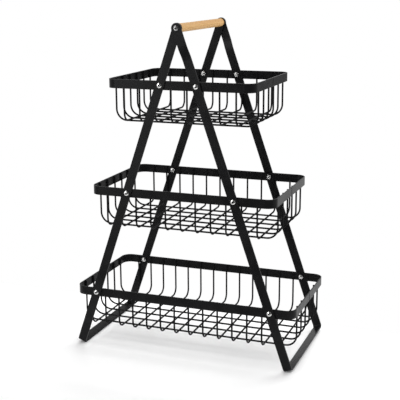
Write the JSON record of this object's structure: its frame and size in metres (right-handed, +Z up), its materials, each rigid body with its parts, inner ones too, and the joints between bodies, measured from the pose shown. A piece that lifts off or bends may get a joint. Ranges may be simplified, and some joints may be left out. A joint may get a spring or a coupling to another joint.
{
  "type": "tiered wire basket",
  "caption": "Free-standing A-frame stand of flat black strap with stacked wire baskets that widen downwards, bolted at their band rims, and a turning wooden carrying grip.",
  "frame": {"origin": "on the floor, below the middle of the grip", "axes": "+X along the baskets to the right, +Y from front to back, +Z up"},
  "size_m": [0.422, 0.2354, 0.6],
  "materials": {
    "black_coat": "satin black",
    "wood": "sanded, pale, fine straight grain",
    "steel": "bright plated"
  },
  "bodies": {
    "stand": {"left_frame": "black_coat", "right_frame": "black_coat", "handle_rod": "steel", "handle_screws": "steel", "top_rim": "black_coat", "top_cross_wires": "black_coat", "top_long_wires": "black_coat", "top_rim_bolts": "steel", "top_rim_nuts": "steel", "middle_rim": "black_coat", "middle_cross_wires": "black_coat", "middle_long_wires": "black_coat", "middle_rim_bolts": "steel", "middle_rim_nuts": "steel", "bottom_rim": "black_coat", "bottom_cross_wires": "black_coat", "bottom_long_wires": "black_coat", "bottom_rim_bolts": "steel", "bottom_rim_nuts": "steel"},
    "grip": {"wood_grip": "wood"}
  },
  "joints": [
    {"name": "grip_turn", "type": "hinge", "parent": "stand", "child": "grip", "pos_m": [0, 0, 0.591], "axis": [0, 1, 0], "continuous": true}
  ]
}
